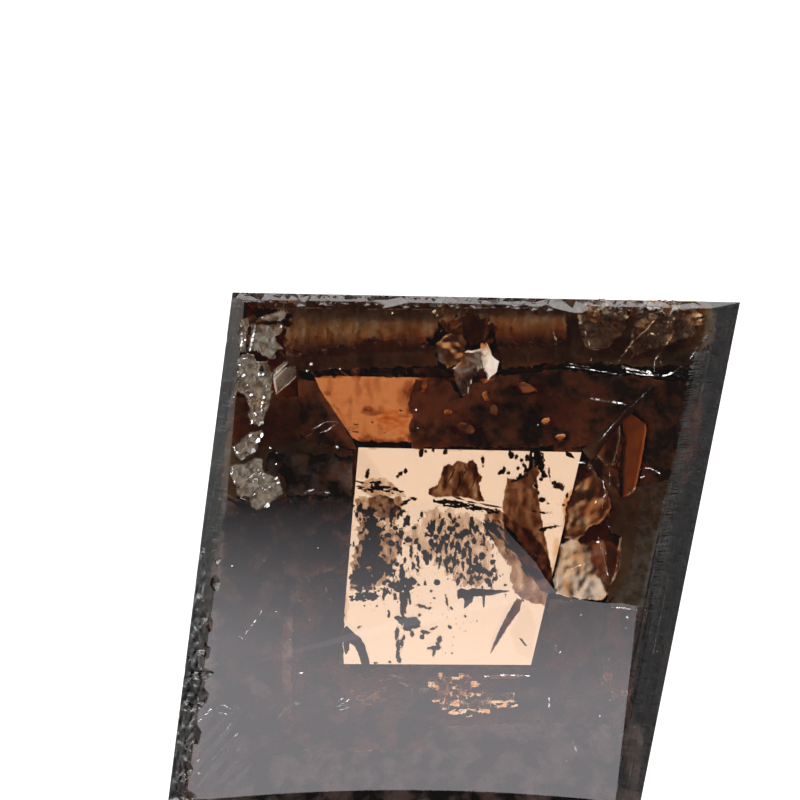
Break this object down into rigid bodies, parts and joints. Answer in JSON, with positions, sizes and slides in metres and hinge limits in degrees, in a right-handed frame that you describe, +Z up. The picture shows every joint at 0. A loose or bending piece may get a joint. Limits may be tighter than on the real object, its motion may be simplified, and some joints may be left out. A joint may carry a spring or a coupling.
{
  "type": "brown diamond",
  "caption": "Loose step-cut brown diamond with a leaning four-sided outline, wide table and flat culet, cracked and heavily included; rests on its culet facet.",
  "frame": {"origin": "under the middle of the stone's outline, on the plane of the culet facet it rests on", "axes": "+Z up from the culet to the table, +X along the stone's longer way, +Y towards its broad, chipped end"},
  "size_m": [0.008, 0.0072, 0.0023],
  "materials": {
    "diamond": "polished clear brown, IOR 2.417"
  },
  "bodies": {
    "root": {"stone": "diamond"}
  },
  "joints": []
}
